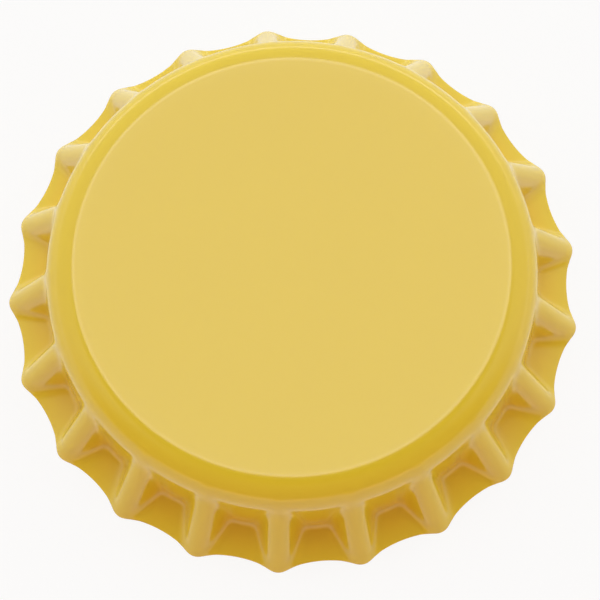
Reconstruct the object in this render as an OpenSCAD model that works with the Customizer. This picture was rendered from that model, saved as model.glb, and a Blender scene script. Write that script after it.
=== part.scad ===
// Crown cap for a glass bottle, new and not yet crimped: a pressed steel shell with a fluted skirt
// and a moulded sealing liner. Millimetres, resting on the rib tips at z = 0, axis of the cap on Z.

/* [Shell] */
// Diameter over the rib tips
tip_d = 32.1; // [31.6:0.1:32.8]
// Height from the rib tips to the top panel
cap_h = 6.0; // [5.7:0.05:6.6]
// Inside diameter of the neck band that goes over the bottle mouth
neck_d = 26.75; // [26.4:0.05:27.1]
// Thickness of the steel sheet
sheet_t = 0.24; // [0.18:0.01:0.3]
// Outside radius of the shoulder between the panel and the skirt
shoulder_r = 1.5; // [1.2:0.05:1.8]

/* [Flutes] */
// Number of flutes around the skirt, with a rib between each two
flute_count = 21; // [18:1:24]
// Diameter across the bottoms of the flutes at the rim
flute_d = 30.98; // [30.6:0.02:31.2]
// Lean of a flute's bottom from upright, in degrees
flute_lean = 63; // [60:0.5:66]
// Radius of a flute's hollow at the rim, seen from above
flute_r = 6.4; // [5.6:0.1:7.2]

/* [Ribs] */
// Radius of a rib's rounded back
rib_r = 0.75; // [0.65:0.05:0.85]
// Angle that each side of a rib leans outwards from its back to its foot, in degrees
rib_draft = 26; // [22:1:30]
// Depth that a rib's back is sunk into the shoulder where it starts
rib_sink = 0.2; // [0.12:0.01:0.28]
// Depth of the lip's cone below the backs of the ribs
skirt_sink = 0.1; // [0.06:0.01:0.2]

/* [Liner] */
// Thickness of the liner's middle
liner_t = 0.2; // [0.15:0.05:0.4]
// Distance from the inside of the neck band to the circle along the middle of the sealing bead
bead_in = 1.475; // [1.3:0.025:1.7]
// Radius of the sealing bead's rounded face
bead_r = 1.6; // [1.4:0.05:1.8]
// Depth of the sealing bead below the underside of the panel
bead_h = 1.0; // [0.7:0.05:1.2]

/* [Hidden] */
$fn = 96;
// The skirt's bodies run on this far below the rim, where one flat cut ends them all
overrun = 2;
axis = 0;
// Turns around the cap, counted in pitches: ribs stand at whole pitches, flutes between them
at_ribs = 0;
at_flutes = 0.5;
tip_r = tip_d / 2;
neck_out_r = neck_d / 2 + sheet_t;
panel_r = neck_out_r - shoulder_r;
panel_under = cap_h - sheet_t;
bead_middle_r = neck_d / 2 - bead_in;

// Centre of the shoulder's arc in the radial plane
shoulder_c = [panel_r, cap_h - shoulder_r];

// A rib's back runs straight from the tip to a point just inside the shoulder's arc
rib_start_r = shoulder_r - rib_sink;
tip_to_shoulder = [tip_r, 0] - shoulder_c;
rib_lean = atan2(tip_to_shoulder[1], tip_to_shoulder[0]) + acos(rib_start_r / norm(tip_to_shoulder));
rib_len = sqrt(pow(norm(tip_to_shoulder), 2) - pow(rib_start_r, 2));
// Depth from the middle of a rib's rounded back to its foot, inside the neck band
rib_depth = 2.4;

// Height of the lip that the flutes are cut from, and of the flutes' hollows above and below the rim
lip_h = 1.25;
flute_up = 1.4;
flute_dip = 0.5;

// Half section of the cap without its skirt, filled to the axis, with every face moved in by inset
module cup_section(inset) {
    translate(shoulder_c)
        circle(r = shoulder_r - inset);
    polygon([
        [axis, -overrun],
        [neck_out_r - inset, -overrun],
        [neck_out_r - inset, shoulder_c[1]],
        shoulder_c,
        [panel_r, cap_h - inset],
        [axis, cap_h - inset]
    ]);
}

// Half section of the plain lip that the flutes are cut from, parallel to the backs of the ribs outside
module lip_section(inset) {
    sunk = (skirt_sink + inset) / cos(rib_lean);
    low = [tip_r - sunk + overrun * tan(rib_lean), -overrun];
    high = [tip_r - sunk - lip_h * tan(rib_lean), lip_h];
    polygon([[panel_r, low[1]], low, high, [panel_r, high[1]]]);
}

// One flute's hollow: a flat cone that stands upright outside the rim and widens upwards
module flute_cone(inset) {
    rim_r = flute_r + inset / cos(flute_lean);
    widen = tan(flute_lean);
    translate([flute_d / 2 + flute_r, 0, -flute_dip])
        cylinder(h = flute_dip + flute_up, r1 = rim_r - flute_dip * widen, r2 = rim_r + flute_up * widen);
}

// Section across one rib: a rounded back with two sides that lean apart from it, moved in by inset
module rib_section(inset) {
    back_r = rib_r - inset;
    side = back_r * [sin(rib_draft), cos(rib_draft)];
    foot = side + rib_depth * [-cos(rib_draft), sin(rib_draft)];
    circle(r = back_r);
    polygon([side, foot, [foot[0], -foot[1]], [side[0], -side[1]]]);
}

// One rib: that section run along the rib's straight back, from below the rim up into the shoulder
module rib_wall(inset) {
    translate([tip_r, 0, 0])
        rotate([0, -rib_lean, 0])
            translate([-rib_r, 0, -overrun])
                linear_extrude(height = rib_len + overrun)
                    rib_section(inset);
}

module around(start) {
    for (k = [0 : flute_count - 1])
        rotate([0, 0, (k + start) * 360 / flute_count])
            children();
}

// The whole cap as a filled form, with every face moved in by inset
module crown_form(inset) {
    rotate_extrude()
        cup_section(inset);
    difference() {
        rotate_extrude()
            lip_section(inset);
        around(at_flutes)
            flute_cone(inset);
    }
    around(at_ribs)
        rib_wall(inset);
}

module below_rim() {
    depth = 2 * overrun;
    translate([0, 0, -depth])
        cylinder(h = depth, r = tip_r + depth);
}

module crown_shell() {
    color("gold")
        difference() {
            crown_form(0);
            crown_form(sheet_t);
            below_rim();
        }
}

module sealing_liner() {
    color("whitesmoke")
        rotate_extrude()
            intersection() {
                cup_section(sheet_t);
                union() {
                    translate([axis, panel_under - liner_t])
                        square([bead_middle_r, liner_t]);
                    translate([bead_middle_r, panel_under - bead_h + bead_r])
                        circle(r = bead_r);
                }
            }
}

crown_shell();
sealing_liner();
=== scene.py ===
"""A new crown cap for a glass bottle, dressed for the camera.

The pressed shell is lacquered yellow outside, clear lacquered inside and bare along its cut rim. Its
skirt is one rule, a rib between two flutes, that a Geometry Nodes tree repeats around the cap. The
moulded sealing liner sits under the panel. Sizes of the form are in millimetres, and meshes, floor and
camera are in metres.
"""

import logging
import math
from dataclasses import dataclass
from enum import Enum
from typing import Any

import bpy
import numpy as np
from mathutils import Matrix, Vector


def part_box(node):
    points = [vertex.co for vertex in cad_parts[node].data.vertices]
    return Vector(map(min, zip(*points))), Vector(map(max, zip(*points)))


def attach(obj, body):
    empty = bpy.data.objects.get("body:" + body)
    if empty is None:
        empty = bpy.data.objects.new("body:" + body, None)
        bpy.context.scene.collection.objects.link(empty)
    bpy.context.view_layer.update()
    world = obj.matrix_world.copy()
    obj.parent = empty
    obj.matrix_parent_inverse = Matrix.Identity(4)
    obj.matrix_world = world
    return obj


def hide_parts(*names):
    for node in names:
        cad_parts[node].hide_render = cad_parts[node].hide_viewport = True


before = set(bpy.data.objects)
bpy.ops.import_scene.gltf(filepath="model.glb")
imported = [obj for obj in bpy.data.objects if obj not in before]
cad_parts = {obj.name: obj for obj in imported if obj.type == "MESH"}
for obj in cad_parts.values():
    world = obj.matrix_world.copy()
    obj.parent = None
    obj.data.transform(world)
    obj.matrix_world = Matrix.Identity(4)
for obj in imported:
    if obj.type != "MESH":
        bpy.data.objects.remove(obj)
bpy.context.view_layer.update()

MM = 0.001
BODY = "root"
WHITE = (1.0, 1.0, 1.0, 1.0)
# Attributes of the shell's mesh: a face's side of the sheet, and a point's depth in the folds, which sets
# the painted shade there
SIDE = "side"
FOLD_SHADE = "fold_shade"
# Sockets of a Mix node that carry colours, and of a Compare node that carry whole numbers
COLOUR_OUT = 2
COLOUR_A = 6
COLOUR_B = 7
WHOLE_A = 2
WHOLE_B = 3
# Octaves and middle of the noise, and the factor from a Wave texture's scale to its angle in a metre
MOTTLE_DETAIL = 3.0
GRAIN_DETAIL = 1.0
NOISE_MIDDLE = 0.5
WAVE_RATE = 20.0
LOG = logging.getLogger("crown_cap")
Colour = tuple[float, float, float, float]


class Side(Enum):
    """The face of the sheet that a part of the shell's mesh belongs to."""

    OUTSIDE = 0
    CUT_EDGE = 1
    INSIDE = 2


class Value:
    """A number socket that takes part in Python expressions."""

    def __init__(self, board: "NodeBoard", socket: bpy.types.NodeSocket) -> None:
        """Keeps the socket and the board that its Math nodes go on."""
        self.board = board
        self.socket = socket

    def _math(self, operation: str, first: Any, second: Any) -> "Value":
        """Adds one Math node.

        Args:
            operation: The Math node's operation.
            first: A number or value for the first socket.
            second: A number or value for the second socket.

        Returns:
            The result as a value.
        """
        made = self.board.node("ShaderNodeMath", {"operation": operation}, {0: first, 1: second})
        return Value(self.board, made.outputs[0])

    def __add__(self, other: Any) -> "Value":
        """This value plus another."""
        return self._math("ADD", self, other)

    def __radd__(self, other: Any) -> "Value":
        """A number plus this value."""
        return self._math("ADD", other, self)

    def __sub__(self, other: Any) -> "Value":
        """This value less another."""
        return self._math("SUBTRACT", self, other)

    def __rsub__(self, other: Any) -> "Value":
        """A number less this value."""
        return self._math("SUBTRACT", other, self)

    def __mul__(self, other: Any) -> "Value":
        """This value times another."""
        return self._math("MULTIPLY", self, other)

    def __rmul__(self, other: Any) -> "Value":
        """A number times this value."""
        return self._math("MULTIPLY", other, self)

    def __truediv__(self, other: Any) -> "Value":
        """This value divided by another."""
        return self._math("DIVIDE", self, other)

    def __rtruediv__(self, other: Any) -> "Value":
        """A number divided by this value."""
        return self._math("DIVIDE", other, self)

    def at_least(self, other: Any) -> "Value":
        """The larger of this value and another."""
        return self._math("MAXIMUM", self, other)


class NodeBoard:
    """A node tree that nodes are put on by type, settings and sockets."""

    def __init__(self, tree: bpy.types.NodeTree) -> None:
        """Clears the tree and keeps it."""
        tree.nodes.clear()
        self.tree = tree

    def node(
        self,
        kind: str,
        settings: dict[str, Any] | None = None,
        sockets: dict[str | int, Any] | None = None,
    ) -> bpy.types.Node:
        """Adds one node.

        Args:
            kind: The node's type.
            settings: Its own settings, which are set first.
            sockets: Values, sockets or plain numbers for its inputs, by name or index.

        Returns:
            The new node.
        """
        made = self.tree.nodes.new(kind)
        for name, setting in (settings or {}).items():
            setattr(made, name, setting)
        for key, given in (sockets or {}).items():
            source = given.socket if isinstance(given, Value) else given
            if isinstance(source, bpy.types.NodeSocket):
                self.tree.links.new(source, made.inputs[key])
            else:
                made.inputs[key].default_value = source
        return made

    def value(self, made: bpy.types.Node, output: str | int = 0) -> Value:
        """One output of a node as a value."""
        return Value(self, made.outputs[output])

    def mix(self, share: Any, first: Any, second: Any) -> bpy.types.NodeSocket:
        """Mixes two colours.

        Args:
            share: How much of the second colour shows, from 0 to 1.
            first: A colour or colour socket.
            second: A colour or colour socket.

        Returns:
            The mixed colour's socket.
        """
        sockets = {0: share, COLOUR_A: first, COLOUR_B: second}
        return self.node("ShaderNodeMix", {"data_type": "RGBA"}, sockets).outputs[COLOUR_OUT]

    def noise(self, point: bpy.types.NodeSocket, grain_mm: float, detail: float) -> Value:
        """Noise from 0 to 1 with grains of a given size.

        Args:
            point: The place that the noise is read at, in metres.
            grain_mm: Size of one grain.
            detail: Octaves of finer grain on top.

        Returns:
            The noise as a value.
        """
        sockets = {"Vector": point, "Scale": 1 / (grain_mm * MM), "Detail": detail}
        return self.value(self.node("ShaderNodeTexNoise", None, sockets), "Fac")

    def between(self, number: Value, low: float, high: float) -> Value:
        """A smooth step of a value from 0 at low to 1 at high."""
        settings = {"interpolation_type": "SMOOTHSTEP"}
        return self.value(self.node("ShaderNodeMapRange", settings, {0: number, 1: low, 2: high}))


@dataclass(frozen=True)
class Finish:
    """What every surface finish has: its colours, its gloss and the grain of its face.

    Attributes:
        name: The material's name.
        colour: Main colour, linear.
        second_colour: Colour of the faint mottle, linear.
        roughness: Roughness of the face.
        roughness_spread: How far the roughness varies.
        mottle_mm: Size of the mottle.
        grain_mm: Size of the grains in the face.
        grain_depth_mm: Depth of those grains.
        metallic: Share of bare metal.
        shine: Strength of the mirror image in the face, where 0.5 is plain plastic.
        coat: Weight of the clear coat.
        coat_roughness: Roughness of the clear coat.
    """

    name: str
    colour: Colour
    second_colour: Colour
    roughness: float
    roughness_spread: float
    mottle_mm: float
    grain_mm: float
    grain_depth_mm: float
    metallic: float = 0.0
    shine: float = 0.5
    coat: float = 0.0
    coat_roughness: float = 0.03

    def material(self) -> bpy.types.Material:
        """Makes the finish as a material on Object coordinates.

        Returns:
            The new material.
        """
        made = bpy.data.materials.new(self.name)
        made.use_nodes = True
        board = NodeBoard(made.node_tree)
        point = board.node("ShaderNodeTexCoord").outputs["Object"]
        mottle = board.noise(point, self.mottle_mm, MOTTLE_DETAIL)
        grain = self.grain(board, point)
        bump = board.node("ShaderNodeBump", None, {
            "Strength": 1.0,
            "Distance": self.grain_depth_mm * MM,
            "Height": grain,
        })
        surface = board.node("ShaderNodeBsdfPrincipled", None, {
            "Base Color": self.tone(board, mottle),
            "Roughness": self.roughness + self.roughness_spread * (mottle - NOISE_MIDDLE),
            "Metallic": self.metallic,
            "Specular IOR Level": self.shine,
            "Coat Weight": self.coat,
            "Coat Roughness": self.coat_roughness,
            "Normal": bump.outputs["Normal"],
        })
        board.node("ShaderNodeOutputMaterial", None, {"Surface": surface.outputs["BSDF"]})
        return made

    def tone(self, board: NodeBoard, mottle: Value) -> bpy.types.NodeSocket:
        """Colour of the face with its mottle."""
        return board.mix(mottle, self.colour, self.second_colour)

    def grain(self, board: NodeBoard, point: bpy.types.NodeSocket) -> Value:
        """Height of the grains in the face, from 0 to 1."""
        return board.noise(point, self.grain_mm, GRAIN_DETAIL)


@dataclass(frozen=True)
class FoldShadedLacquer(Finish):
    """A lacquer with painted shade in the folds of the skirt: a deeper orange that stands in for the shade
    and bounced light there.

    Attributes:
        fold_shade_colour: Colour of the painted shade at the bottom of the folds, linear.
    """

    fold_shade_colour: Colour = WHITE

    def tone(self, board: NodeBoard, mottle: Value) -> bpy.types.NodeSocket:
        """Colour of the face with its mottle, and with painted shade in the folds."""
        # Painted shade: the depth in the folds mixes the colour towards a deeper orange in the flutes
        fold_shade = board.value(board.node("ShaderNodeAttribute", {"attribute_name": FOLD_SHADE}), "Fac")
        return board.mix(fold_shade, super().tone(board, mottle), self.fold_shade_colour)


@dataclass(frozen=True)
class MouldedFinish(Finish):
    """A finish pressed by a turned punch, with faint rings around the cap's axis.

    Attributes:
        ring_mm: Distance from one ring to the next.
        ring_share: Share of the rings in the height of the face.
    """

    ring_mm: float = 0.3
    ring_share: float = 0.5

    def grain(self, board: NodeBoard, point: bpy.types.NodeSocket) -> Value:
        """Height of the rings and grains in the face, from 0 to 1.

        Args:
            board: The board of the material's tree.
            point: The place on the face, in metres.

        Returns:
            The height as a value.
        """
        settings = {"wave_type": "RINGS", "rings_direction": "Z"}
        sockets = {"Vector": point, "Scale": 2 * math.pi / (WAVE_RATE * self.ring_mm * MM)}
        rings = board.value(board.node("ShaderNodeTexWave", settings, sockets), "Fac")
        return rings * self.ring_share + super().grain(board, point) * (1 - self.ring_share)


# The yellow lacquer's colour in the folds is painted shade: a deeper orange at the bottom of the flutes in
# place of their shade and bounced light
YELLOW_LACQUER = FoldShadedLacquer(
    name="yellow_lacquer_painted_fold_shade",
    colour=(0.817, 0.612, 0.036, 1.0),
    second_colour=(0.797, 0.594, 0.034, 1.0),
    fold_shade_colour=(0.81, 0.552, 0.028, 1.0),
    roughness=0.16,
    roughness_spread=0.04,
    mottle_mm=5.0,
    grain_mm=0.9,
    grain_depth_mm=0.0006,
    shine=0.62,
)
CLEAR_LACQUERED_TIN = Finish(
    name="clear_lacquered_tin",
    colour=(0.70, 0.67, 0.60, 1.0),
    second_colour=(0.64, 0.60, 0.51, 1.0),
    roughness=0.30,
    roughness_spread=0.10,
    mottle_mm=2.5,
    grain_mm=0.25,
    grain_depth_mm=0.0010,
    metallic=1.0,
    coat=0.4,
    coat_roughness=0.12,
)
CUT_STEEL = Finish(
    name="cut_steel",
    colour=(0.50, 0.46, 0.36, 1.0),
    second_colour=(0.40, 0.36, 0.26, 1.0),
    roughness=0.45,
    roughness_spread=0.15,
    mottle_mm=0.8,
    grain_mm=0.06,
    grain_depth_mm=0.0020,
    metallic=1.0,
)
MOULDED_COMPOUND = MouldedFinish(
    name="moulded_compound",
    colour=(0.80, 0.80, 0.77, 1.0),
    second_colour=(0.76, 0.765, 0.735, 1.0),
    roughness=0.42,
    roughness_spread=0.10,
    mottle_mm=3.0,
    grain_mm=0.12,
    grain_depth_mm=0.0020,
)


def soft_union(first: np.ndarray, second: np.ndarray, fillet: float) -> np.ndarray:
    """Joins two signed distances with a fillet in the crease between them.

    Args:
        first: Signed distances from the first form.
        second: Signed distances from the second form.
        fillet: Width of the fillet.

    Returns:
        Signed distances from the joined form.
    """
    share = np.clip(0.5 + 0.5 * (second - first) / fillet, 0.0, 1.0)
    return second + (first - second) * share - fillet * share * (1.0 - share)


@dataclass(frozen=True)
class CrownForm:
    """Outside form of the pressed cap, around one rib, as a signed distance in millimetres.

    Attributes:
        tip_r: Radius over the rib tips.
        cap_h: Height of the panel above the rib tips.
        sheet_t: Thickness of the sheet, from the outside form to the inside.
        neck_out_r: Outside radius of the neck band.
        shoulder_r: Outside radius of the shoulder.
        flute_count: Number of flutes.
        flute_rim_r: Radius at the bottom of a flute, at the rim.
        flute_lean: Lean of a flute's bottom from upright.
        flute_r: Radius of a flute's hollow at the rim, seen from above.
        rib_r: Radius of a rib's rounded back.
        rib_draft: Angle that a rib's sides lean apart from its back to its foot.
        rib_sink: Depth of a rib's back below the shoulder where it starts.
        skirt_sink: Depth of the plain skirt below the backs of the ribs.
        lip_h: Height of the lip that the flutes are cut from.
        pocket_fillet: Width of the fillet where the flutes meet the neck band and the ribs.
        rib_fillet: Width of the fillet where a rib meets the shoulder and the neck band.
        fold_shade_start: Depth below the backs of the ribs at which the painted shade in the flutes begins.
        fold_shade_end: Depth at which that painted shade is full, at the bottom of a flute.
    """

    tip_r: float
    cap_h: float
    sheet_t: float = 0.24
    neck_out_r: float = 13.615
    shoulder_r: float = 1.75
    flute_count: int = 21
    flute_rim_r: float = 15.49
    flute_lean: float = math.radians(63.0)
    flute_r: float = 6.4
    rib_r: float = 0.75
    rib_draft: float = math.radians(26.0)
    rib_sink: float = 0.2
    skirt_sink: float = 0.3
    lip_h: float = 1.25
    pocket_fillet: float = 0.42
    rib_fillet: float = 0.34
    fold_shade_start: float = 0.5
    fold_shade_end: float = 1.4

    @property
    def pitch(self) -> float:
        """Angle from one rib to the next."""
        return 2 * math.pi / self.flute_count

    @property
    def shoulder_c(self) -> np.ndarray:
        """Centre of the shoulder's arc, as radius and height."""
        return np.array([self.neck_out_r - self.shoulder_r, self.cap_h - self.shoulder_r])

    @property
    def rib_line(self) -> tuple[float, float]:
        """The straight line of a rib's back, from the tip to just inside the shoulder's arc.

        Returns:
            The lean of the back from upright, and its length.
        """
        reach = np.array([self.tip_r, 0.0]) - self.shoulder_c
        span = float(np.hypot(*reach))
        start = self.shoulder_r - self.rib_sink
        lean = math.atan2(reach[1], reach[0]) + math.acos(start / span)
        return lean, math.sqrt(span**2 - start**2)

    def cup(self, radius: np.ndarray, height: np.ndarray) -> np.ndarray:
        """Signed distance from the panel, shoulder and neck band.

        Args:
            radius: Distances from the axis.
            height: Heights above the rim.

        Returns:
            The signed distances.
        """
        across, up = radius - self.shoulder_c[0], height - self.shoulder_c[1]
        corner = np.hypot(np.maximum(across, 0.0), np.maximum(up, 0.0))
        return corner + np.minimum(np.maximum(across, up), 0.0) - self.shoulder_r

    def skirt(self, radius: np.ndarray, turn: np.ndarray, height: np.ndarray) -> np.ndarray:
        """Signed distance from the plain skirt with the flutes cut out of it.

        Args:
            radius: Distances from the axis.
            turn: Angles from the rib's middle.
            height: Heights above the rim.

        Returns:
            The signed distances.
        """
        lean, _ = self.rib_line
        plain = (radius - self.tip_r) * math.cos(lean) + height * math.sin(lean) + self.skirt_sink
        from_flute = np.abs(turn) - self.pitch / 2
        across = radius * np.cos(from_flute) - self.flute_rim_r - self.flute_r
        off_axis = np.hypot(across, radius * np.sin(from_flute))
        flute = (off_axis - self.flute_r - height * math.tan(self.flute_lean)) * math.cos(self.flute_lean)
        return np.maximum(np.maximum(plain, height - self.lip_h), -flute)

    def rib(self, radius: np.ndarray, turn: np.ndarray, height: np.ndarray) -> np.ndarray:
        """Signed distance from the rib, a wall with a rounded back and sides that lean apart.

        Args:
            radius: Distances from the axis.
            turn: Angles from the rib's middle.
            height: Heights above the rim.

        Returns:
            The signed distances.
        """
        lean, length = self.rib_line
        across = radius * np.cos(turn) - self.tip_r + self.rib_r * math.cos(lean)
        aside = np.abs(radius * np.sin(turn))
        up = height + self.rib_r * math.sin(lean)
        along = up * math.cos(lean) - across * math.sin(lean)
        off_axis = across * math.cos(lean) + up * math.sin(lean)
        back = np.hypot(off_axis, aside)
        wall = off_axis * math.sin(self.rib_draft) + aside * math.cos(self.rib_draft)
        on_back = off_axis * math.cos(self.rib_draft) > aside * math.sin(self.rib_draft)
        return np.maximum(np.where(on_back, back, wall) - self.rib_r, along - length)

    def distance(self, radius: np.ndarray, turn: np.ndarray, height: np.ndarray) -> np.ndarray:
        """Signed distance from the whole form, negative inside it.

        Args:
            radius: Distances from the axis.
            turn: Angles from the rib's middle.
            height: Heights above the rim.

        Returns:
            The signed distances.
        """
        ribbed = soft_union(self.cup(radius, height), self.rib(radius, turn, height), self.rib_fillet)
        return soft_union(ribbed, self.skirt(radius, turn, height), self.pocket_fillet)

    def fold_shade(self, radius: np.ndarray, height: np.ndarray) -> np.ndarray:
        """How deep a point lies in the folds, from 0 on the backs of the ribs to 1 at the bottom of a flute,
        for the painted shade there.

        Args:
            radius: Distances from the axis.
            height: Heights above the rim.

        Returns:
            The depths, which fade to 0 towards the shoulder.
        """
        lean, _ = self.rib_line
        below_ribs = (self.tip_r - radius) * math.cos(lean) - height * math.sin(lean)
        deep = np.clip((below_ribs - self.fold_shade_start) / (self.fold_shade_end - self.fold_shade_start), 0.0, 1.0)
        return deep * np.clip((self.shoulder_c[1] - height) / self.fold_shade_end, 0.0, 1.0)

    def cast(self, start: np.ndarray, way: np.ndarray, turn: np.ndarray, depth: float) -> np.ndarray:
        """Walks from inside the form along straight lines to a face.

        Args:
            start: Radius and height where each line starts.
            way: Direction of each line, as radius and height.
            turn: Angle of each line from the rib's middle.
            depth: Depth of the face below the outside.

        Returns:
            Radius and height where each line meets the face.
        """
        steps = 90
        ease = 0.95
        length = np.zeros(np.broadcast_shapes(start.shape[:-1], way.shape[:-1], turn.shape))
        for _ in range(steps):
            spot = start + way * length[..., None]
            length = length - ease * (self.distance(spot[..., 0], turn, spot[..., 1]) + depth)
        return start + way * length[..., None]


@dataclass
class CrownShell:
    """The pressed shell with its panel, shoulder and fluted skirt.

    Attributes:
        form: The form of the pressed sheet.
        half_columns: Columns of the mesh from a rib's middle to a flute's middle.
        rib_crowding: Share of the columns' spacing that grows from the rib to the flute.
        panel_rings: Rings on the flat panel.
        first_ring_r: Radius of the smallest of those rings.
        ring_power: Power that brings those rings closer together towards the shoulder.
        shoulder_rows: Rows over the shoulder.
        skirt_rows: Rows down the skirt.
        edge_rows: Rows around the cut rim.
        edge_round: Height of the rounded corners of the rim.
        corner_share: Share of the rim's width that the rounding of each corner takes.
        back_step: How far inside the form the lines to the skirt start.
        weld: Distance within which the points of two sectors become one.
    """

    form: CrownForm
    half_columns: int = 14
    rib_crowding: float = 0.3
    panel_rings: int = 9
    first_ring_r: float = 1.0
    ring_power: float = 0.6
    shoulder_rows: int = 14
    skirt_rows: int = 36
    edge_rows: int = 8
    edge_round: float = 0.06
    corner_share: float = 0.25
    back_step: float = 0.7
    weld: float = 0.001

    def turns(self) -> np.ndarray:
        """Angles of one pitch's columns from the rib's middle, closer together on the rib.

        Returns:
            The angles from the middle of one flute to the middle of the next.
        """
        share = np.linspace(0.0, 1.0, self.half_columns + 1)
        crowded = (1 - self.rib_crowding) * share + self.rib_crowding * share**2
        half = crowded * self.form.pitch / 2
        return np.concatenate([-half[:0:-1], half])

    def face(self, turn: np.ndarray, depth: float) -> np.ndarray:
        """One face of the sheet as rows from the panel's middle to the rim.

        Args:
            turn: Angles of the columns.
            depth: Depth of the face below the outside.

        Returns:
            Radius and height of each row and column.
        """
        form = self.form
        lean, _ = form.rib_line
        ring_share = np.linspace(0.0, 1.0, self.panel_rings) ** self.ring_power
        rings = self.first_ring_r + (form.shoulder_c[0] - self.first_ring_r) * ring_share
        panel = np.stack([rings, np.full_like(rings, form.cap_h - depth)], axis=-1)
        panel = np.repeat(panel[:, None, :], len(turn), axis=1)
        angles = np.linspace(math.pi / 2, lean, self.shoulder_rows)[1:, None]
        bend = np.stack([np.cos(angles), np.sin(angles)], axis=-1)
        shoulder = form.cast(form.shoulder_c, bend, turn, depth)
        outward = np.array([math.cos(lean), math.sin(lean)])
        upward = np.array([-math.sin(lean), math.cos(lean)])
        drop = (form.shoulder_c - self.level_points(turn, self.edge_round, depth)) @ upward
        down = np.linspace(0.0, 1.0, self.skirt_rows)[1:, None] * drop[None, :]
        start = form.shoulder_c - down[..., None] * upward - self.back_step * outward
        skirt = form.cast(start, outward, turn, depth)
        return np.concatenate([panel, shoulder, skirt])

    def level_points(self, turn: np.ndarray, height: float, depth: float) -> np.ndarray:
        """Where a face of the sheet reaches a given height on the skirt.

        Args:
            turn: Angles of the columns.
            height: Height above the floor.
            depth: Depth of the face below the outside.

        Returns:
            Radius and height for each column.
        """
        start = np.array([self.form.neck_out_r, height])
        outward = np.array([1.0, 0.0])
        return self.form.cast(start, outward, turn, depth)

    def edge(self, turn: np.ndarray, outer: np.ndarray, inner: np.ndarray) -> np.ndarray:
        """Rows around the cut rim, flat below with two rounded corners.

        Args:
            turn: Angles of the columns.
            outer: Last row of the outer face.
            inner: Last row of the inner face.

        Returns:
            Radius and height of each row and column.
        """
        outer_corner = self.level_points(turn, 0.0, 0.0)
        inner_corner = self.level_points(turn, 0.0, self.form.sheet_t)
        corner_width = (inner_corner - outer_corner) * self.corner_share
        share = np.linspace(0.0, 1.0, self.edge_rows // 2 + 1)[1:, None, None]

        def rounded(start: np.ndarray, corner: np.ndarray, end: np.ndarray) -> np.ndarray:
            """Rows along a curve from start to end that is drawn to a corner."""
            return start * (1 - share) ** 2 + corner * 2 * share * (1 - share) + end * share**2

        down = rounded(outer, outer_corner, outer_corner + corner_width)
        up = rounded(inner, inner_corner, inner_corner - corner_width)
        return np.concatenate([down, up[::-1]])

    def sector(self) -> bpy.types.Mesh:
        """The mesh of one pitch, a wedge of the whole shell with a rib in its middle.

        Returns:
            The mesh, with the faces' sides of the sheet and the points' depths in the folds as attributes;
            the depths set the painted shade in the folds.
        """
        turn = self.turns()
        outer, inner = self.face(turn, 0.0), self.face(turn, self.form.sheet_t)
        rows = np.concatenate([outer, self.edge(turn, outer[-1], inner[-1]), inner[::-1]])
        count, columns = rows.shape[:2]
        ring = np.stack([rows[..., 0] * np.cos(turn), rows[..., 0] * np.sin(turn), rows[..., 1]], axis=-1)
        top, bottom = [0.0, 0.0, self.form.cap_h], [0.0, 0.0, self.form.cap_h - self.form.sheet_t]
        points = np.concatenate([ring.reshape(-1, 3), [top, bottom]]) * MM
        top_index, bottom_index = count * columns, count * columns + 1
        faces: list[tuple[int, ...]] = []
        sides: list[int] = []
        for column in range(columns - 1):
            last = (count - 1) * columns + column
            faces += [(top_index, column, column + 1), (bottom_index, last + 1, last)]
            sides += [Side.OUTSIDE.value, Side.INSIDE.value]
        # The lacquer runs on over the outer rounded corner, and the cut edge is bare from there
        edge_start, edge_end = len(outer) - 1 + self.edge_rows // 2, len(outer) + self.edge_rows
        for row in range(count - 1):
            side = Side.OUTSIDE if row < edge_start else Side.CUT_EDGE if row < edge_end else Side.INSIDE
            for column in range(columns - 1):
                first = row * columns + column
                faces.append((first, first + columns, first + columns + 1, first + 1))
                sides.append(side.value)
        mesh = bpy.data.meshes.new("crown_sector")
        mesh.from_pydata(points.tolist(), [], faces)
        mesh.attributes.new(SIDE, "INT", "FACE").data.foreach_set("value", sides)
        # Depth in the folds, which the lacquer turns into painted shade
        folds = np.append(self.form.fold_shade(rows[..., 0], rows[..., 1]).ravel(), [0.0, 0.0])
        mesh.attributes.new(FOLD_SHADE, "FLOAT", "POINT").data.foreach_set("value", folds)
        return mesh

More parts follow.
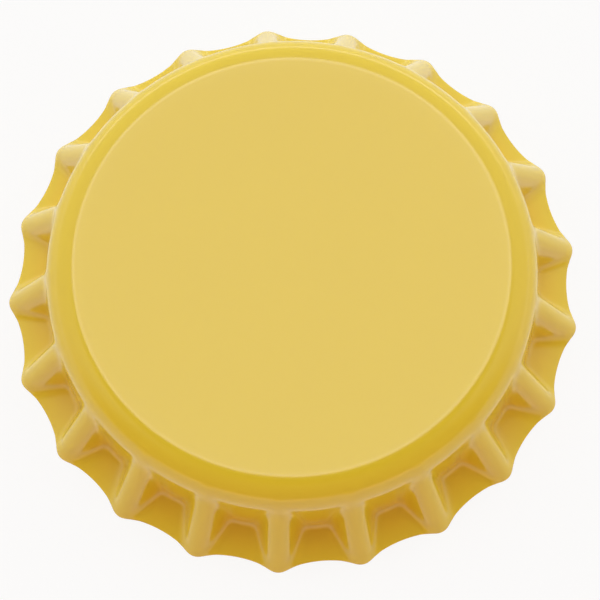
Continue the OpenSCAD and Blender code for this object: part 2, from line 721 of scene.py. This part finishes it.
    def ring_tree(self, finishes: dict[Side, bpy.types.Material]) -> bpy.types.NodeTree:
        """The tree that sets a sector around the axis, welds the seams and gives each side its finish.

        Args:
            finishes: The material of each side.

        Returns:
            The Geometry Nodes tree, with inputs Copies and Weld distance.
        """
        tree = bpy.data.node_groups.new("ring_of_sectors", "GeometryNodeTree")
        board = NodeBoard(tree)
        tree.interface.new_socket("Sector", in_out="INPUT", socket_type="NodeSocketGeometry")
        tree.interface.new_socket("Copies", in_out="INPUT", socket_type="NodeSocketInt")
        tree.interface.new_socket("Weld distance", in_out="INPUT", socket_type="NodeSocketFloat")
        tree.interface.new_socket("Shell", in_out="OUTPUT", socket_type="NodeSocketGeometry")
        given = board.node("NodeGroupInput").outputs
        spots = board.node("GeometryNodePoints", None, {"Count": given["Copies"]})
        index = board.value(board.node("GeometryNodeInputIndex"))
        angle = index / Value(board, given["Copies"]) * (2 * math.pi)
        euler = board.node("ShaderNodeCombineXYZ", None, {"Z": angle})
        turned = board.node("FunctionNodeEulerToRotation", None, {0: euler.outputs[0]})
        copies = board.node("GeometryNodeInstanceOnPoints", None, {
            "Points": spots.outputs[0],
            "Instance": given["Sector"],
            "Rotation": turned.outputs[0],
        })
        real = board.node("GeometryNodeRealizeInstances", None, {0: copies.outputs[0]})
        weld = {"Geometry": real.outputs[0], "Distance": given["Weld distance"]}
        welded = board.node("GeometryNodeMergeByDistance", None, weld)
        shape = board.node("GeometryNodeSetShadeSmooth", None, {"Geometry": welded.outputs[0]}).outputs[0]
        side = board.node("GeometryNodeInputNamedAttribute", {"data_type": "INT"}, {"Name": SIDE})
        for which, material in finishes.items():
            settings = {"data_type": "INT", "operation": "EQUAL"}
            sockets = {WHOLE_A: side.outputs[0], WHOLE_B: which.value}
            picked = board.node("FunctionNodeCompare", settings, sockets)
            dressed = board.node("GeometryNodeSetMaterial", None, {
                "Geometry": shape,
                "Selection": picked.outputs[0],
                "Material": material,
            })
            shape = dressed.outputs[0]
        board.node("NodeGroupOutput", None, {0: shape})
        return tree

    def build(self) -> bpy.types.Object:
        """Builds the dressed shell in place of the CAD shell.

        Returns:
            The shell's object.
        """
        finishes = {
            Side.OUTSIDE: YELLOW_LACQUER.material(),
            Side.CUT_EDGE: CUT_STEEL.material(),
            Side.INSIDE: CLEAR_LACQUERED_TIN.material(),
        }
        sector = self.sector()
        for finish in finishes.values():
            sector.materials.append(finish)
        wedge = bpy.data.objects.new("crown_wedge", sector)
        bpy.context.scene.collection.objects.link(wedge)
        modifier = wedge.modifiers.new("ring", "NODES")
        modifier.node_group = self.ring_tree(finishes)
        given = {"Copies": self.form.flute_count, "Weld distance": self.weld * MM}
        for item in modifier.node_group.interface.items_tree:
            if item.name in given:
                modifier[item.identifier] = given[item.name]
        seen = wedge.evaluated_get(bpy.context.evaluated_depsgraph_get())
        mesh = bpy.data.meshes.new_from_object(seen)
        bpy.data.objects.remove(wedge)
        shell = bpy.data.objects.new("lacquered_shell", mesh)
        bpy.context.scene.collection.objects.link(shell)
        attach(shell, BODY)
        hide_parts("crown_shell")
        return shell


@dataclass
class SealingLiner:
    """The moulded seal under the panel: a thin disc with a round bead under the shoulder.

    Attributes:
        form: The form of the pressed sheet that the liner lies in.
        film_t: Thickness of the disc.
        bead_in: Distance from the neck band's inside to the middle of the bead.
        bead_r: Radius of the bead's round face.
        bead_h: Depth of the bead below the underside of the panel.
        corner_r: Radius of the fillet between the disc and the bead.
        first_ring_r: Radius of the smallest rings, next to the axis.
        film_points: Points of the section along the disc's free face.
        corner_points: Points along that fillet.
        bead_points: Points along the bead's round face.
        seat_points: Points along the inside of the shoulder.
        back_points: Points along the underside of the panel.
        segments: Segments around the axis.
    """

    form: CrownForm
    film_t: float = 0.2
    bead_in: float = 1.475
    bead_r: float = 1.6
    bead_h: float = 1.0
    corner_r: float = 0.35
    first_ring_r: float = 0.5
    film_points: int = 14
    corner_points: int = 9
    bead_points: int = 26
    seat_points: int = 12
    back_points: int = 8
    segments: int = 252

    def profile(self) -> np.ndarray:
        """Half section from the axis along the free face and back along the shell.

        Returns:
            Radius and height of each point.
        """
        form = self.form
        under = form.cap_h - form.sheet_t
        film_z = under - self.film_t
        bead = np.array([form.neck_out_r - form.sheet_t - self.bead_in, under - self.bead_h + self.bead_r])
        fillet_z = film_z - self.corner_r
        fillet_x = bead[0] - math.sqrt((self.bead_r + self.corner_r) ** 2 - (bead[1] - fillet_z) ** 2)
        to_bead = math.atan2(bead[1] - fillet_z, bead[0] - fillet_x)
        seat = form.shoulder_c
        seat_r = form.shoulder_r - form.sheet_t
        gap = bead - seat
        span = float(np.hypot(*gap))
        swing = math.acos((span**2 + seat_r**2 - self.bead_r**2) / (2 * span * seat_r))
        seat_angle = math.atan2(gap[1], gap[0]) - swing
        meet = seat + seat_r * np.array([math.cos(seat_angle), math.sin(seat_angle)])
        meet_angle = math.atan2(meet[1] - bead[1], meet[0] - bead[0])

        def arc(centre: np.ndarray, radius: float, start: float, end: float, count: int) -> np.ndarray:
            """Points along an arc from one angle to another."""
            angles = np.linspace(start, end, count)
            return centre + radius * np.stack([np.cos(angles), np.sin(angles)], axis=-1)

        film = np.linspace((self.first_ring_r, film_z), (fillet_x, film_z), self.film_points)
        fillet = np.array([fillet_x, fillet_z])
        corner = arc(fillet, self.corner_r, math.pi / 2, to_bead, self.corner_points)
        face = arc(bead, self.bead_r, to_bead - math.pi, meet_angle, self.bead_points)
        side = arc(seat, seat_r, seat_angle, math.pi / 2, self.seat_points)
        back = np.linspace((seat[0], under), (self.first_ring_r, under), self.back_points)
        return np.concatenate([film[:-1], corner, face[1:], side[1:], back[1:]])

    def build(self) -> bpy.types.Object:
        """Builds the dressed liner in place of the CAD liner.

        Returns:
            The liner's object.
        """
        profile = self.profile()
        turn = np.linspace(0.0, 2 * math.pi, self.segments, endpoint=False)
        radius, height = profile[:, :1], np.repeat(profile[:, 1:], self.segments, axis=1)
        ring = np.stack([radius * np.cos(turn), radius * np.sin(turn), height], axis=-1)
        ends = [[0.0, 0.0, profile[0, 1]], [0.0, 0.0, profile[-1, 1]]]
        points = np.concatenate([ring.reshape(-1, 3), ends]) * MM
        count = len(profile)
        faces: list[tuple[int, ...]] = []
        for column in range(self.segments):
            beside = (column + 1) % self.segments
            last = (count - 1) * self.segments
            faces += [(count * self.segments, beside, column)]
            faces += [(count * self.segments + 1, last + column, last + beside)]
            for row in range(count - 1):
                near, far = row * self.segments, (row + 1) * self.segments
                faces.append((near + column, near + beside, far + beside, far + column))
        mesh = bpy.data.meshes.new("moulded_liner")
        mesh.from_pydata(points.tolist(), [], faces)
        mesh.polygons.foreach_set("use_smooth", [True] * len(mesh.polygons))
        mesh.materials.append(MOULDED_COMPOUND.material())
        liner = bpy.data.objects.new("moulded_liner", mesh)
        bpy.context.scene.collection.objects.link(liner)
        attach(liner, BODY)
        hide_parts("sealing_liner")
        return liner


@dataclass
class Studio:
    """The pale floor, the soft light around the cap and the camera.

    Attributes:
        turn: Angle of the camera around the cap, from straight in front.
        rise: Angle of the camera above the floor.
        roll: Roll of the camera about its own line of sight.
        distance: Distance of the camera from the middle of the cap's rim, in metres.
        lens: Focal length of the lens.
        clip_start: Distance from which the camera sees things, in metres.
        aside: How far the middle of the picture lies to the right of the cap's axis, in metres.
        below: How far the middle of the picture lies below the rim's middle, in metres.
        floor_size: Width of the floor, in metres.
        floor_colour: Colour of the floor's paint, linear.
        floor_shade: Share of the floor's own light and shade that shows beside the plain white.
        softbox: Brightness that the lamp box adds, which the panel mirrors to the camera.
        softbox_rim: Brightness that the lamp box's rim adds to that.
        softbox_r: Angle from the middle of the lamp box to its edge.
        softbox_middle_r: Angle from the middle of the lamp box to the inside of its rim.
        softbox_blur: Angle that each of those two edges fades over, to either side.
        tent: Brightness of the white cloth above and around the cap.
        tent_foot: Brightness that the lit foot of the cloth adds near the floor.
        foot_top: Sine of the rise above the floor where that lit foot ends.
        foot_side_dark: Share of the foot's light that is missing at the left and right.
        side_start: Cosine of the angle from straight left or right where the foot begins to dim.
        side_end: Cosine of the angle from straight left or right where the foot is dimmest.
        top_dark: Share of light that is missing in the roof, around the lamp box.
        roof_start: Sine of the rise above the floor where the cloth begins to darken.
        roof_end: Sine of the rise above the floor where the dark roof is reached.
        front_dark: Share of light that is missing in front, where the tent is open.
        front_edge: Cosine of the angle from straight ahead where the tent is fully open.
        front_tint: Colour of the light that comes from the room in front.
    """

    turn: float = math.radians(9.82)
    rise: float = math.radians(72.9)
    roll: float = math.radians(-2.65)
    distance: float = 0.215
    lens: float = 228.5
    clip_start: float = 0.01
    aside: float = 0.00039
    below: float = 0.000243
    floor_size: float = 6.0
    floor_colour: Colour = (0.9, 0.9, 0.9, 1.0)
    floor_shade: float = 0.14
    softbox: float = 2.05
    softbox_rim: float = 1.2
    softbox_r: float = math.radians(18.0)
    softbox_middle_r: float = math.radians(8.0)
    softbox_blur: float = math.radians(1.5)
    tent: float = 0.88
    tent_foot: float = 2.8
    foot_top: float = 0.16
    foot_side_dark: float = 0.75
    side_start: float = 0.5
    side_end: float = 0.9
    top_dark: float = 0.9
    roof_start: float = 0.84
    roof_end: float = 0.92
    front_dark: float = 0.43
    front_edge: float = 0.45
    front_tint: Colour = (1.0, 0.63, 0.34, 1.0)

    @property
    def right(self) -> Vector:
        """Direction to the right of the camera, level with the floor."""
        return Vector((math.cos(self.turn), math.sin(self.turn), 0.0))

    def way(self, rise: float) -> Vector:
        """Direction towards the camera's side at a given rise above the floor."""
        flat = math.cos(rise)
        return Vector((math.sin(self.turn) * flat, -math.cos(self.turn) * flat, math.sin(rise)))

    def camera(self) -> bpy.types.Object:
        """Sets up the camera at the photograph's viewing angle.

        Returns:
            The camera's object.
        """
        data = bpy.data.cameras.new("camera")
        data.lens = self.lens
        data.clip_start = self.clip_start
        camera = bpy.data.objects.new("camera", data)
        back = self.way(self.rise)
        up = back.cross(self.right)
        side = self.right * math.cos(self.roll) + up * math.sin(self.roll)
        over = up * math.cos(self.roll) - self.right * math.sin(self.roll)
        place = Matrix((side, over, back)).transposed().to_4x4()
        place.translation = back * self.distance + side * self.aside - over * self.below
        camera.matrix_world = place
        bpy.context.scene.collection.objects.link(camera)
        bpy.context.scene.camera = camera
        return camera

    def floor(self) -> bpy.types.Object:
        """Lays the pale floor under the rib tips.

        Returns:
            The floor's object.
        """
        half = self.floor_size / 2
        corners = [(-half, -half, 0.0), (half, -half, 0.0), (half, half, 0.0), (-half, half, 0.0)]
        mesh = bpy.data.meshes.new("floor")
        mesh.from_pydata(corners, [], [(0, 1, 2, 3)])
        paint = bpy.data.materials.new("floor_paint")
        paint.use_nodes = True
        board = NodeBoard(paint.node_tree)
        path = board.node("ShaderNodeLightPath")
        seen = board.value(path, "Is Camera Ray").at_least(board.value(path, "Is Glossy Ray"))
        seen = seen.at_least(board.value(path, "Is Transmission Ray"))
        matt = board.node("ShaderNodeBsdfDiffuse", None, {"Color": self.floor_colour})
        plain = board.node("ShaderNodeEmission", None, {"Color": WHITE, "Strength": 1.0})
        both = board.node("ShaderNodeMixShader", None, {
            0: seen * (1 - self.floor_shade),
            1: matt.outputs[0],
            2: plain.outputs[0],
        })
        board.node("ShaderNodeOutputMaterial", None, {"Surface": both.outputs[0]})
        mesh.materials.append(paint)
        floor = bpy.data.objects.new("floor", mesh)
        bpy.context.scene.collection.objects.link(floor)
        return floor

    def light(self) -> None:
        """Lights the cap like a white tent that is open in front."""
        world = bpy.data.worlds.new("tent")
        world.use_nodes = True
        board = NodeBoard(world.node_tree)
        point = board.node("ShaderNodeTexCoord").outputs["Generated"]

        def along(axis: Vector, low: float, high: float) -> Value:
            """A smooth step along an axis through the tent, from 0 at low to 1 at high.

            Args:
                axis: Direction of the axis.
                low: Cosine of the angle from the axis where the step begins.
                high: Cosine of the angle from the axis where the step ends.

            Returns:
                The step as a value.
            """
            settings = {"operation": "DOT_PRODUCT"}
            facing = board.value(board.node("ShaderNodeVectorMath", settings, {0: point, 1: axis}), "Value")
            return board.between(facing, low, high)

        def lamp_disc(radius: float) -> Value:
            """A soft-edged disc around the direction that the panel mirrors to the camera."""
            mirror = self.way(math.pi - self.rise)
            return along(mirror, math.cos(radius + self.softbox_blur), math.cos(radius - self.softbox_blur))

        up = Vector((0.0, 0.0, 1.0))
        right_side = along(self.right, self.side_start, self.side_end)
        left_side = along(-self.right, self.side_start, self.side_end)
        foot = (1 - along(up, 0.0, self.foot_top)) * (1 - self.foot_side_dark * (right_side + left_side))
        roof = along(up, self.roof_start, self.roof_end)
        front = along(self.way(0.0), 0.0, self.front_edge)
        box = lamp_disc(self.softbox_r)
        box_rim = box - lamp_disc(self.softbox_middle_r)
        cloth = self.tent * (1 - self.top_dark * roof) * (1 - self.front_dark * front)
        level = cloth + self.tent_foot * foot + self.softbox * box + self.softbox_rim * box_rim
        tent = board.node("ShaderNodeBackground", None, {
            "Color": board.mix(front, WHITE, self.front_tint),
            "Strength": level,
        })
        board.node("ShaderNodeOutputWorld", None, {"Surface": tent.outputs[0]})
        bpy.context.scene.world = world
        bpy.context.scene.view_settings.view_transform = "Standard"


def main() -> None:
    """Builds the cap and its studio."""
    logging.basicConfig(level=logging.INFO, format="%(message)s")
    _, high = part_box("crown_shell")
    form = CrownForm(tip_r=high.x / MM, cap_h=high.z / MM)
    for piece in (CrownShell(form).build(), SealingLiner(form).build()):
        LOG.info("%s: %d faces", piece.name, len(piece.data.polygons))
    studio = Studio()
    studio.floor()
    studio.light()
    studio.camera()
    bpy.context.view_layer.update()


if __name__ == "__main__":
    main()
